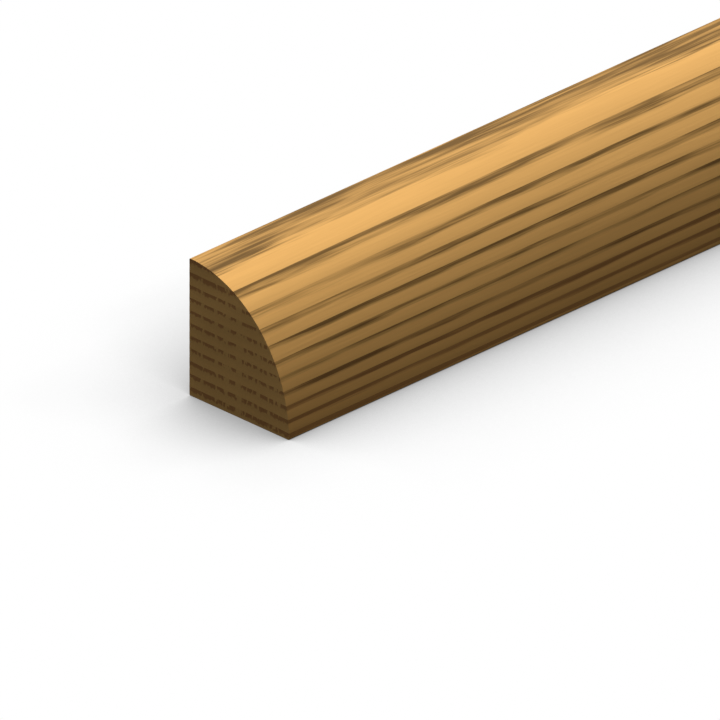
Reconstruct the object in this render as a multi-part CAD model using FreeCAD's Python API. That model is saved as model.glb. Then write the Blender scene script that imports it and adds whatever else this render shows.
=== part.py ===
import FreeCAD, Part
import os

# A quarter round moulding: one straight stick of solid wood, lying on its floor face.
# X runs along the stick, +Y is the wall face, the rounded face looks towards -Y and Z is up.
# The origin is on the floor, at the middle of the stick's length and of its floor face.

# Driving dimensions, in millimetres
stick_length = 2438.4       # eight feet, square cut at both ends
floor_face_width = 17.4625  # 11/16 inch, from the wall to the toe
wall_face_height = 19.05    # 3/4 inch, from the floor to the top
arris_radius = 0.2          # the lightly sanded long edges


def near_end_point(out, up):
    """A point of the near end's section, by its distance out from the wall and its height."""
    return FreeCAD.Vector(-stick_length / 2, floor_face_width / 2 - out, up)


def rounded_profile():
    """The ellipse that the rounded face follows, about the heel where wall and floor meet."""
    heel = near_end_point(0, 0)
    toe = near_end_point(floor_face_width, 0)
    top = near_end_point(0, wall_face_height)
    if wall_face_height >= floor_face_width:
        return Part.Ellipse(top, toe, heel)
    return Part.Ellipse(toe, top, heel)


def arris_centre(inner_ellipse, line_start, line_end):
    """Where a line one arris radius inside a flat face meets the ellipse's own inside offset."""
    meeting = inner_ellipse.intersect(Part.LineSegment(line_start, line_end))[0]
    return FreeCAD.Vector(meeting.X, meeting.Y, meeting.Z)


def arris_arc(centre, first_touch, last_touch):
    """The rounding between two faces, about its centre and from one touching point to the other."""
    outward = (first_touch - centre) + (last_touch - centre)
    return Part.Arc(first_touch, centre + outward.normalize() * arris_radius, last_touch).toShape()


def section_face():
    """The section at the near end: two flat faces, the rounded face and the three eased arrises."""
    ellipse = rounded_profile()
    inner_ellipse = Part.OffsetCurve(ellipse, -arris_radius, ellipse.Axis)

    toe_centre = arris_centre(
        inner_ellipse, near_end_point(0, arris_radius), near_end_point(floor_face_width, arris_radius)
    )
    top_centre = arris_centre(
        inner_ellipse, near_end_point(arris_radius, 0), near_end_point(arris_radius, wall_face_height)
    )
    heel_centre = near_end_point(arris_radius, arris_radius)

    into_wall = FreeCAD.Vector(0, arris_radius, 0)
    into_floor = FreeCAD.Vector(0, 0, -arris_radius)
    toe_parameter = ellipse.parameter(toe_centre)
    top_parameter = ellipse.parameter(top_centre)
    rounded_range = sorted([toe_parameter, top_parameter])

    edges = [
        Part.LineSegment(heel_centre + into_floor, toe_centre + into_floor).toShape(),
        arris_arc(toe_centre, toe_centre + into_floor, ellipse.value(toe_parameter)),
        Part.ArcOfEllipse(ellipse, *rounded_range).toShape(),
        arris_arc(top_centre, ellipse.value(top_parameter), top_centre + into_wall),
        Part.LineSegment(top_centre + into_wall, heel_centre + into_wall).toShape(),
        arris_arc(heel_centre, heel_centre + into_wall, heel_centre + into_floor),
    ]
    return Part.Face(Part.Wire(Part.sortEdges(edges)[0]))


def quarter_round():
    """The stick: its section run straight along the whole length."""
    return section_face().extrude(FreeCAD.Vector(stick_length, 0, 0))


os.makedirs("parts", exist_ok=True)
quarter_round().exportStep("parts/quarter_round.step")
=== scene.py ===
import math

import bpy
import numpy as np
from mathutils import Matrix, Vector
from mathutils.geometry import delaunay_2d_cdt


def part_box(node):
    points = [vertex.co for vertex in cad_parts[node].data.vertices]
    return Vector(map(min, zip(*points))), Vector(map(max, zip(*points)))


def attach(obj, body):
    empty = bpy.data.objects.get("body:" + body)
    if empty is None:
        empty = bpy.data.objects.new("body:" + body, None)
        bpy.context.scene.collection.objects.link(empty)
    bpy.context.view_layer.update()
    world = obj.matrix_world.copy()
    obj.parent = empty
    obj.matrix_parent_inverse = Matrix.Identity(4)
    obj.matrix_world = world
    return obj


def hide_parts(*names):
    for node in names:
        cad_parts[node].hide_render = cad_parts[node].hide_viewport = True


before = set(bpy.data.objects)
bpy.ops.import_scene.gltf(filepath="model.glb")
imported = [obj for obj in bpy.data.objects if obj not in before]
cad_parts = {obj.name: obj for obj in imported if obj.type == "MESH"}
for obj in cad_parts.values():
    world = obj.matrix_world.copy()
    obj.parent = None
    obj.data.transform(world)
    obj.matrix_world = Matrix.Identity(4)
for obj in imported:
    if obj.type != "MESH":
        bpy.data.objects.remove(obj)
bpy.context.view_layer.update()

# A straight stick of quarter round moulding in bare wood, lying on its floor face.
# Lengths are in metres unless a name says millimetres (mm). X runs along the stick, +Y is the
# wall face, the rounded face looks towards -Y and Z is up.

millimetre = 0.001

# The stick's size, from the frame
stick_low, stick_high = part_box("quarter_round")
near_end_x = stick_low.x
far_end_x = stick_high.x
wall_y = stick_high.y
section_width = stick_high.y - stick_low.y
section_height = stick_high.z - stick_low.z
wall_mm = wall_y / millimetre
top_mm = section_height / millimetre
arris_radius = 0.2 * millimetre

# How finely the stick is divided
rounded_steps = 104
wall_steps = 50
floor_steps = 26
arris_steps = 3
length_steps = 430
measuring_steps = 20 * rounded_steps
end_grid_step = 0.45 * millimetre
end_rim_gap = 0.6 * end_grid_step   # from the rounded edge to the nearest point inside the end
merge_distance = 1e-9
sharp_angle = math.radians(40)
raised_grain = 0.012 * millimetre   # how far the late wood stands proud of the early wood

# The flat map of the surface, from 0 to 1: each half of the length as a strip, and the two ends
map_name = "OFBake"
map_margin = 0.01
strip_height = 0.37
strip_starts = (0.01, 0.40)
end_map_size = 0.19
end_map_starts = ((0.02, 0.79), (0.25, 0.79))

# Growth layers: nearly level sheets of wood, each with a sharp dark edge at its top
layer_pitch_mm = 1.7555
first_edge_mm = 1.262
layer_rise = 0.0028         # along the stick
layer_dip = 0.000066        # how much more the lower layers dip towards the toe
thick_layers_mm = 16.5      # the height at which the layers get thicker
top_lift_mm = 0.21          # how much that lifts the top layer
slow_wander_mm = 0.04       # how far the layers wander up and down
quick_wander_mm = 0.03

# Late wood along the stick: the dark part below each edge, and the share of light that it takes
thin_late_mm = 0.66
thick_late_mm = 0.86
high_late_gain = 1.1        # how much thicker it is in the highest layers
fibre_thickness = (0.87, 1.13)
late_core = 0.3             # the share of its thickness that is dark throughout
low_late_core = 0.48        # that share in the lowest layers
top_late_core = 0.62        # and in the top layer
faint_late = 0.35
strong_late = 0.78
low_late_gain = 0.06        # how much stronger it is in the lowest layers
low_evenness = 0.5          # how much less its streaks show there
streak_tones = (0.6, 1.34)
fibre_streak_tones = (0.66, 1.34)
darkest_late = 0.77
darkest_low_late = 0.49     # in the lowest layer
darkest_rounding = 0.35     # how gradually it nears its darkest
edge_blur_mm = 0.02

# Late wood on the cut ends: rows of dashes
dash_mm = 0.45              # how thick they are
heavy_dash_mm = 0.15        # how much thicker in the low and high rows
broken_dash_mm = 0.94       # how much their thickness varies
heavy_dash_gain = 0.055     # how much longer they are in the low and high rows
dash_core = 0.75            # from this share of its thickness a dash fades,
dash_end = 1.25             # and here it ends

# Heights in millimetres between which the wood changes
low_layers_mm = (3.0, 8.0)
strong_layers_mm = (5.0, 8.0)
darkest_layers_mm = (1.0, 6.5)
high_layers_mm = (12.5, 15.5)
top_layer_mm = (17.6, 18.3)
low_dashes_mm = (2.5, 6.0)
high_dashes_mm = (14.0, 16.5)

# Noise in the wood: the size of its waves along, across and up in millimetres, and its shift
slow_wander = ((150, 14, 25), (28.6, 57.0, 13.9))
quick_wander = ((30, 2.5, 6), (31.3, 0.7, 66.2))
long_strength = ((50, 4, 8), (76.0, 27.3, 21.5))
middle_strength = ((26, 3, 4), (80.3, 7.8, 68.1))
short_strength = ((15, 2, 2.5), (7.6, 41.0, 7.6))
layer_strength = ((40, 6, 1.8), (66.4, 6.8, 35.6))
long_thickness = ((26, 2.5, 4), (39.7, 37.8, 21.6))
short_thickness = ((14, 1.5, 3), (61.8, 41.6, 1.2))
late_streaks = ((24, 0.6, 1.5), (63.4, 16.5, 20.9))
broad_patches = ((60, 6, 6), (67.6, 43.2, 1.1))
fine_fibres = ((9, 0.25, 0.25), (5.0, 1.0, 9.0))
wide_dashes = ((60, 2.6, 120), (33.4, 37.47, 14.04))
middle_dashes = ((60, 1.3, 120), (1.95, 84.4, 3.13))
narrow_dashes = ((60, 0.7, 120), (72.66, 19.61, 25.7))
row_breaks = ((60, 0.4, 1.0), (3.0, 6.0, 2.0))

# How detailed some of it is, and how much each mix of it counts
streak_detail = 2.0
streak_roughness = 0.6
fibre_detail = 2.0
break_detail = 1.0
strength_share = 0.65
thickness_share = 0.8
dash_share = 0.75
break_share = 0.85

# The spans of noise over which the wood changes
noise_middle = 0.5
usual_span = (0.3, 0.7)
wide_span = (0.25, 0.75)
widest_span = (0.2, 0.8)
strength_span = (0.36, 0.63)
streak_span = (0.38, 0.62)
dash_span = (0.44, 0.49)

# Colour as linear light
pale_wood = (0.858, 0.471, 0.144)
red_wood = (1.03, 0.455, 0.153)     # what the late wood of the lowest layers tends to
early_start_mm = 0.7        # how far below an edge the early wood begins
early_tone = 1.035          # its tone there
low_early_tone = 1.09       # its tone there in the lowest layers
early_end_tone = 0.985      # its tone just above the next edge
fibre_tones = (1.04, 0.96)
broad_tones = (0.955, 1.065)
end_grain_tint = (0.935, 1.0, 1.11)
end_dash_loss = (0.345, 0.455, 0.435)   # the light that a dash takes from red, green and blue
end_early_mm = (layer_pitch_mm - 0.9, layer_pitch_mm - 0.5)
end_early_tone = 1.06       # the tone of the cut ends just above an edge

# Surface
early_roughness = 0.65
late_roughness = 0.55
fibre_roughness = 0.05      # how much the fibres vary it
wood_specular = 0.03
fibre_depth = 0.02 * millimetre
cut_end_span = (0.6, 0.8)   # how squarely a face looks along the stick where it turns to end grain

# Light
key_direction = Vector((0.445, 0.404, 1.0))
key_angle = math.radians(45)
key_strength = 3.39
sky_strength = 0.214

# The photograph's view: parallel lines, 45 degrees to the length and 27 degrees above the floor
view_azimuth = math.radians(-45)
view_elevation = math.radians(27)
view_span = 89.117 * millimetre
view_point = Vector((near_end_x + 21.717 * millimetre, wall_y - 8.150 * millimetre, 0.0))
camera_distance = 1.0

# Floor
floor_reach = 6.0
shadow_reach = 30 * millimetre
shadow_power = 1.45
shadow_samples = 16
floor_white = 1.09          # where nothing shades it
floor_bounce = 0.02


class NodeMaker:
    """Adds nodes to one node tree. An input is a number, a vector or another node's output."""

    def __init__(self, tree):
        self.tree = tree

    def feed(self, socket, value):
        if isinstance(value, bpy.types.NodeSocket):
            self.tree.links.new(value, socket)
        else:
            socket.default_value = value

    def node(self, kind, inputs, **settings):
        made = self.tree.nodes.new(kind)
        for name, value in settings.items():
            setattr(made, name, value)
        for key, value in inputs.items():
            self.feed(made.inputs[key], value)
        return made

    def math(self, operation, first, second=0.0):
        return self.node("ShaderNodeMath", {0: first, 1: second}, operation=operation).outputs[0]

    def smooth_minimum(self, first, second, rounding):
        inputs = {0: first, 1: second, 2: rounding}
        return self.node("ShaderNodeMath", inputs, operation="SMOOTH_MIN").outputs[0]

    def vector_math(self, operation, first, second):
        inputs = {0: first, 1: second}
        return self.node("ShaderNodeVectorMath", inputs, operation=operation).outputs[0]

    def total(self, *values):
        result = values[0]
        for value in values[1:]:
            result = self.math("ADD", result, value)
        return result

    def product(self, *values):
        result = values[0]
        for value in values[1:]:
            result = self.math("MULTIPLY", result, value)
        return result

    def blend(self, share, first, second):
        """The first vector where share is 0, the second where it is 1."""
        inputs = {0: share, 4: first, 5: second}
        return self.node("ShaderNodeMix", inputs, data_type="VECTOR").outputs[1]

    def ramp(self, value, start, end, low=0.0, high=1.0, shape="LINEAR"):
        """Low before start, high after end, and a straight or smooth slope between."""
        inputs = {"Value": value, "From Min": start, "From Max": end, "To Min": low, "To Max": high}
        return self.node("ShaderNodeMapRange", inputs, interpolation_type=shape).outputs[0]

    def noise(self, point, waves, detail=0.0, roughness=0.5):
        """Smooth noise from 0 to 1, mostly between 0.3 and 0.7."""
        size, shift = waves
        scale = tuple(1 / part for part in size)
        scaled = self.vector_math("MULTIPLY", point, scale)
        moved = self.vector_math("ADD", scaled, shift)
        inputs = {"Vector": moved, "Scale": 1.0, "Detail": detail, "Roughness": roughness}
        return self.node("ShaderNodeTexNoise", inputs).outputs[0]

    def centred_noise(self, point, waves, detail=0.0):
        """Smooth noise about 0."""
        return self.math("SUBTRACT", self.noise(point, waves, detail), noise_middle)

    def mixed_noise(self, point, share, *noises):
        """Several noises in one, about 0.5."""
        parts = [self.centred_noise(point, waves) for waves in noises]
        return self.total(self.product(self.total(*parts), share), noise_middle)

    def parts(self, vector):
        return self.node("ShaderNodeSeparateXYZ", {0: vector}).outputs


def place_in_stick(make, position):
    """A position in millimetres: along from the near end, across, and up."""
    from_end = make.vector_math("ADD", position, (-near_end_x, 0.0, 0.0))
    per_metre = 1 / millimetre
    return make.vector_math("MULTIPLY", from_end, (per_metre, per_metre, per_metre))


def layer_count(make, point):
    """How many growth layers lie below a point. A whole number is a layer's sharp dark edge."""
    part = make.parts(point)
    slow = make.ramp(make.noise(point, slow_wander), *wide_span, slow_wander_mm, -slow_wander_mm)
    quick = make.ramp(make.noise(point, quick_wander), *wide_span, quick_wander_mm, -quick_wander_mm)
    rise = make.product(part["X"], -layer_rise)
    out = make.math("SUBTRACT", wall_mm, part["Y"])
    below_top = make.math("SUBTRACT", top_mm, part["Z"])
    dip = make.product(out, out, below_top, layer_dip)
    lift = make.ramp(part["Z"], thick_layers_mm, top_mm, 0.0, -top_lift_mm)
    height = make.total(part["Z"], slow, quick, rise, dip, lift, -first_edge_mm)
    return make.math("DIVIDE", height, layer_pitch_mm)


def depth_below_edge(make, layers):
    """How far a point lies below the dark edge above it, in millimetres."""
    above_last_edge = make.math("FRACT", layers)
    return make.product(make.math("SUBTRACT", 1.0, above_last_edge), layer_pitch_mm)


def low_layers(make, point):
    """1 in the lowest layers, whose late wood is redder and more even, and 0 above them."""
    return make.ramp(make.parts(point)["Z"], *low_layers_mm, 1.0, 0.0, "SMOOTHSTEP")


def late_strength(make, point):
    """How dark the late wood is from place to place, before its streaks."""
    height = make.parts(point)["Z"]
    noises = (long_strength, middle_strength, short_strength, layer_strength)
    noise = make.mixed_noise(point, strength_share, *noises)
    low_gain = make.ramp(height, *strong_layers_mm, low_late_gain, 0.0, "SMOOTHSTEP")
    return make.ramp(make.total(noise, low_gain), *strength_span, faint_late, strong_late)


def late_thickness(make, point, fibre):
    """How far the late wood reaches below its edge, in millimetres."""
    height = make.parts(point)["Z"]
    noise = make.mixed_noise(point, thickness_share, long_thickness, short_thickness)
    thickness = make.ramp(noise, *usual_span, thin_late_mm, thick_late_mm)
    high_gain = make.ramp(height, *high_layers_mm, 1.0, high_late_gain)
    fibre_gain = make.ramp(fibre, *usual_span, *fibre_thickness)
    return make.product(thickness, high_gain, fibre_gain)


def late_streak_tone(make, point, fibre, low):
    """Stronger and fainter streaks along the late wood, which is more even in the lowest layers."""
    streak = make.noise(point, late_streaks, streak_detail, streak_roughness)
    streak = make.ramp(streak, *streak_span, *streak_tones)
    fibre_streak = make.ramp(fibre, *usual_span, *fibre_streak_tones)
    even = make.product(low, low_evenness)
    uneven = make.math("SUBTRACT", 1.0, even)
    return make.total(make.product(streak, fibre_streak, uneven), even)


def late_wood(make, point, depth, fibre):
    """The share of light that the late wood takes along the stick: much in places, little in others."""
    height = make.parts(point)["Z"]
    low = low_layers(make, point)
    strength = late_strength(make, point)
    thickness = late_thickness(make, point, fibre)
    streaks = late_streak_tone(make, point, fibre, low)
    core_share = make.ramp(low, 0.0, 1.0, late_core, low_late_core)
    core_share = make.ramp(height, *top_layer_mm, core_share, top_late_core)
    core = make.product(thickness, core_share)
    fade = make.ramp(depth, core, thickness, 1.0, 0.0, "SMOOTHSTEP")
    edge = make.ramp(depth, 0.0, edge_blur_mm)
    dark = make.product(strength, streaks, fade, edge)
    darkest = make.ramp(height, *darkest_layers_mm, darkest_low_late, darkest_late)
    return make.smooth_minimum(dark, darkest, darkest_rounding)


def end_late_wood(make, point, depth):
    """Where the late wood shows on a cut end, from 0 to 1: rows of dashes, heavier low and high."""
    height = make.parts(point)["Z"]
    low = make.ramp(height, *low_dashes_mm, 1.0, 0.0, "SMOOTHSTEP")
    high = make.ramp(height, *high_dashes_mm, 0.0, 1.0, "SMOOTHSTEP")
    heavy = make.total(low, high)
    dashes = make.mixed_noise(point, dash_share, wide_dashes, middle_dashes, narrow_dashes)
    breaks = make.product(make.centred_noise(point, row_breaks, break_detail), break_share)
    dash = make.ramp(make.total(dashes, breaks, make.product(heavy, heavy_dash_gain)), *dash_span)
    heavier = make.product(heavy, heavy_dash_mm)
    broken = make.product(breaks, broken_dash_mm)
    thickness = make.total(heavier, broken, dash_mm)
    core = make.product(thickness, dash_core)
    end = make.product(thickness, dash_end)
    fade = make.ramp(depth, core, end, 1.0, 0.0, "SMOOTHSTEP")
    edge = make.ramp(depth, 0.0, edge_blur_mm)
    return make.product(dash, fade, edge)


def long_grain_colour(make, point, depth, late):
    """The colour of the faces along the stick."""
    low = low_layers(make, point)
    start_tone = make.ramp(low, 0.0, 1.0, early_tone, low_early_tone)
    early = make.ramp(depth, early_start_mm, layer_pitch_mm, start_tone, early_end_tone)
    tone = make.product(make.math("SUBTRACT", 1.0, late), early)
    hue = make.blend(make.product(low, late), pale_wood, red_wood)
    return make.vector_math("MULTIPLY", hue, tone)


def end_grain_colour(make, point, depth):
    """The colour of the two cut ends."""
    base = tuple(wood * tint for wood, tint in zip(pale_wood, end_grain_tint))
    dash_colour = tuple(wood * (1 - loss) for wood, loss in zip(base, end_dash_loss))
    dash = end_late_wood(make, point, depth)
    early = make.ramp(depth, *end_early_mm, 1.0, end_early_tone)
    return make.vector_math("MULTIPLY", make.blend(dash, base, dash_colour), early)


def on_cut_end(make):
    """1 on the two cut ends, 0 on the faces along the stick."""
    normal = make.node("ShaderNodeNewGeometry", {}).outputs["Normal"]
    facing_end = make.math("ABSOLUTE", make.parts(normal)["X"])
    return make.ramp(facing_end, *cut_end_span)


def wood_material():
    """Pale bare wood with dark late wood in nearly level growth layers."""
    material = bpy.data.materials.new("bare_wood")
    material.use_nodes = True
    make = NodeMaker(material.node_tree)
    shader = material.node_tree.nodes["Principled BSDF"]
    position = make.node("ShaderNodeTexCoord", {}).outputs["Object"]
    point = place_in_stick(make, position)
    depth = depth_below_edge(make, layer_count(make, point))
    fibre = make.noise(point, fine_fibres, fibre_detail)
    late = late_wood(make, point, depth, fibre)

    long_colour = long_grain_colour(make, point, depth, late)
    end_colour = end_grain_colour(make, point, depth)
    face_colour = make.blend(on_cut_end(make), long_colour, end_colour)
    fibre_tone = make.ramp(fibre, *widest_span, *fibre_tones)
    broad_tone = make.ramp(make.noise(point, broad_patches), *wide_span, *broad_tones)
    colour = make.vector_math("MULTIPLY", face_colour, make.product(fibre_tone, broad_tone))

    layer_roughness = make.ramp(late, 0.0, 1.0, early_roughness, late_roughness)
    rough_fibres = make.ramp(fibre, *widest_span, -fibre_roughness, fibre_roughness)
    roughness = make.total(layer_roughness, rough_fibres)
    grooves = make.node("ShaderNodeBump", {"Height": fibre, "Strength": 1.0, "Distance": fibre_depth})

    make.feed(shader.inputs["Base Color"], colour)
    make.feed(shader.inputs["Roughness"], roughness)
    make.feed(shader.inputs["Normal"], grooves.outputs["Normal"])
    shader.inputs["Specular IOR Level"].default_value = wood_specular
    return material


def arris(out, up, first_degrees, last_degrees):
    """Points round an eased edge, about a centre that is this far out from the wall and up."""
    angles = np.radians(np.linspace(first_degrees, last_degrees, arris_steps + 1))
    return [(out + arris_radius * math.cos(a), up + arris_radius * math.sin(a)) for a in angles]


def straight(start, end, steps):
    """Points between two places on a flat face, without the two ends."""
    shares = np.linspace(0, 1, steps + 1)[1:-1]
    return [tuple(np.array(start) * (1 - share) + np.array(end) * share) for share in shares]


def rounded_face():
    """Points at equal steps along the quarter ellipse from the toe up to the top, without its ends."""
    first = math.asin(arris_radius / section_height)
    last = math.acos(arris_radius / section_width)
    angles = np.linspace(first, last, measuring_steps)
    outs = section_width * np.cos(angles)
    ups = section_height * np.sin(angles)
    lengths = np.concatenate([[0], np.cumsum(np.hypot(np.diff(outs), np.diff(ups)))])
    wanted = np.linspace(0, lengths[-1], rounded_steps + 1)[1:-1]
    return list(zip(np.interp(wanted, lengths, outs), np.interp(wanted, lengths, ups)))


def section_outline():
    """The section as points (out from the wall, up from the floor), from the heel by the toe and top."""
    inset = arris_radius
    toe = arris(section_width - inset, inset, -90, 0)
    top = arris(inset, section_height - inset, 90, 180)
    heel = arris(inset, inset, 180, 270)
    floor_face = straight(heel[-1], toe[0], floor_steps)
    wall_face = straight(top[-1], heel[0], wall_steps)
    return heel[-1:] + floor_face + toe + rounded_face() + top + wall_face + heel[:-1]


def end_face(outline):
    """A triangulated end: the outline's points first, then a grid of points inside it."""
    outs = np.arange(end_grid_step, section_width, end_grid_step)
    ups = np.arange(end_grid_step, section_height, end_grid_step)
    inner_width = section_width - end_rim_gap
    inner_height = section_height - end_rim_gap
    inside = [
        (out, up)
        for out in outs
        for up in ups
        if (out / inner_width) ** 2 + (up / inner_height) ** 2 < 1
    ]
    points = [Vector(place) for place in outline + inside]
    ring = list(range(len(outline)))
    only_inside = 1
    made_points, _, made_faces = delaunay_2d_cdt(points, [], [ring], only_inside, merge_distance)[:3]
    return [tuple(place) for place in made_points], made_faces


def outline_shares(outline):
    """How far round the section each point is, from 0 at the heel to 1 back at the heel."""
    closed = np.array(outline + outline[:1])
    steps = np.hypot(*np.diff(closed, axis=0).T)
    return np.concatenate([[0], np.cumsum(steps)]) / steps.sum()


def long_faces(outline):
    """The faces along the stick, and their corners' places in the flat map."""
    around = len(outline)
    shares = strip_height * outline_shares(outline)
    half = length_steps // 2
    strip_length = 1 - 2 * map_margin
    faces = []
    corners = []
    for station in range(length_steps):
        here = station * around
        there = here + around
        strip, step = divmod(station, half)
        left = map_margin + strip_length * step / half
        right = map_margin + strip_length * (step + 1) / half
        for index in range(around):
            following = (index + 1) % around
            faces.append((here + index, there + index, there + following, here + following))
            low = strip_starts[strip] + shares[index]
            high = strip_starts[strip] + shares[index + 1]
            corners += [(left, low), (right, low), (right, high), (left, high)]
    return faces, corners


def end_map_place(point, start):
    """A point of an end face in the flat map."""
    out, up = point
    scale = end_map_size / section_height
    return start[0] + out * scale, start[1] + up * scale


def stick_mesh():
    """The whole stick as one closed mesh, with its flat map."""
    outline = section_outline()
    around = len(outline)
    stations = np.linspace(near_end_x, far_end_x, length_steps + 1)
    places = [(x, wall_y - out, up) for x in stations for out, up in outline]
    faces, corners = long_faces(outline)

    cap_points, near_faces = end_face(outline)
    far_faces = [face[::-1] for face in near_faces]
    ends = ((near_end_x, 0, near_faces), (far_end_x, length_steps * around, far_faces))
    for (x, first_ring, end_faces), start in zip(ends, end_map_starts):
        inside_start = len(places) - around
        places += [(x, wall_y - out, up) for out, up in cap_points[around:]]
        numbers = [first_ring + n if n < around else inside_start + n for n in range(len(cap_points))]
        faces += [tuple(numbers[n] for n in face) for face in end_faces]
        corners += [end_map_place(cap_points[n], start) for face in end_faces for n in face]

    mesh = bpy.data.meshes.new("quarter_round_wood")
    mesh.from_pydata(places, [], faces)
    flat_map = mesh.uv_layers.new(name=map_name)
    flat_map.data.foreach_set("uv", np.array(corners).ravel())
    return mesh


def raised_grain_nodes():
    """Sinks the early wood a little, so that the late wood stands proud as on bare wood."""
    group = bpy.data.node_groups.new("raised_grain", "GeometryNodeTree")
    group.interface.new_socket("Geometry", in_out="INPUT", socket_type="NodeSocketGeometry")
    group.interface.new_socket("Geometry", in_out="OUTPUT", socket_type="NodeSocketGeometry")
    make = NodeMaker(group)
    surface = make.node("NodeGroupInput", {}).outputs[0]
    position = make.node("GeometryNodeInputPosition", {}).outputs[0]
    normal = make.node("GeometryNodeInputNormal", {}).outputs[0]
    layers = layer_count(make, place_in_stick(make, position))
    wave = make.math("COSINE", make.product(layers, 2 * math.pi))
    depth = make.ramp(wave, -1.0, 1.0, -raised_grain, 0.0)
    offset = make.vector_math("MULTIPLY", normal, depth)
    shaped = make.node("GeometryNodeSetPosition", {"Geometry": surface, "Offset": offset})
    make.node("NodeGroupOutput", {0: shaped.outputs[0]})
    return group


def make_stick():
    """The stick with its raised grain and its wood, in place of the plain solid."""
    stick = bpy.data.objects.new("quarter_round_wood", stick_mesh())
    bpy.context.collection.objects.link(stick)
    grain = stick.modifiers.new("raised_grain", "NODES")
    grain.node_group = raised_grain_nodes()
    shaped = stick.evaluated_get(bpy.context.evaluated_depsgraph_get())
    stick.data = bpy.data.meshes.new_from_object(shaped)
    stick.modifiers.clear()
    stick.data.shade_smooth()
    stick.data.set_sharp_from_angle(angle=sharp_angle)
    stick.data.materials.append(wood_material())
    return stick


def floor_material():
    """White to the eye, with a painted shadow that makes it darker close to the stick, and dark to the
    light that would bounce off it.
    """
    material = bpy.data.materials.new("studio_floor")
    material.use_nodes = True
    make = NodeMaker(material.node_tree)
    material.node_tree.nodes.remove(material.node_tree.nodes["Principled BSDF"])
    output = material.node_tree.nodes["Material Output"]
    ray = make.node("ShaderNodeLightPath", {}).outputs
    seen = make.math("MAXIMUM", ray["Is Camera Ray"], ray["Is Glossy Ray"])
    seen = make.math("MAXIMUM", seen, ray["Is Transmission Ray"])
    # Painted shadow: the floor's white glow is dimmed where the stick hides it, measured by ambient
    # occlusion, rather than shaded by the lamps.
    distance = {"Distance": shadow_reach}
    occlusion = make.node("ShaderNodeAmbientOcclusion", distance, samples=shadow_samples)
    shade = make.product(make.math("POWER", occlusion.outputs["AO"], shadow_power), floor_white)
    shade = make.math("MINIMUM", shade, 1.0)
    white = make.node("ShaderNodeEmission", {"Color": (1.0, 1.0, 1.0, 1.0), "Strength": shade})
    dark = make.node("ShaderNodeBsdfDiffuse", {"Color": (floor_bounce, floor_bounce, floor_bounce, 1.0)})
    mix = make.node("ShaderNodeMixShader", {0: seen, 1: dark.outputs[0], 2: white.outputs[0]})
    make.feed(output.inputs["Surface"], mix.outputs[0])
    return material


def make_floor():
    """A wide flat floor under the stick: one triangle, so that no edge inside it can show."""
    reach = floor_reach
    corners = [(-3 * reach, -reach, 0.0), (3 * reach, -reach, 0.0), (0.0, 2 * reach, 0.0)]
    mesh = bpy.data.meshes.new("studio_floor")
    mesh.from_pydata(corners, [], [(0, 1, 2)])
    floor = bpy.data.objects.new("studio_floor", mesh)
    bpy.context.collection.objects.link(floor)
    mesh.materials.append(floor_material())
    return floor


def make_light():
    """A wide key light from above and behind, and a dim even sky."""
    lamp = bpy.data.lights.new("key", "SUN")
    lamp.energy = key_strength
    lamp.angle = key_angle
    key = bpy.data.objects.new("key", lamp)
    key.rotation_mode = "QUATERNION"
    key.rotation_quaternion = key_direction.to_track_quat("Z", "Y")
    bpy.context.collection.objects.link(key)
    world = bpy.data.worlds.new("sky")
    world.use_nodes = True
    background = world.node_tree.nodes["Background"]
    background.inputs["Color"].default_value = (1.0, 1.0, 1.0, 1.0)
    background.inputs["Strength"].default_value = sky_strength
    bpy.context.scene.world = world


def make_camera():
    """The photograph's view."""
    data = bpy.data.cameras.new("camera")
    data.type = "ORTHO"
    data.ortho_scale = view_span
    camera = bpy.data.objects.new("camera", data)
    level = math.cos(view_elevation)
    back = Vector((
        math.sin(view_azimuth) * level,
        -math.cos(view_azimuth) * level,
        math.sin(view_elevation),
    ))
    camera.location = view_point + back * camera_distance
    camera.rotation_mode = "QUATERNION"
    camera.rotation_quaternion = (-back).to_track_quat("-Z", "Y")
    bpy.context.collection.objects.link(camera)
    bpy.context.scene.camera = camera


stick = make_stick()
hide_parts("quarter_round")
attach(stick, "root")

floor = make_floor()
make_light()
make_camera()
bpy.context.scene.view_settings.view_transform = "Standard"
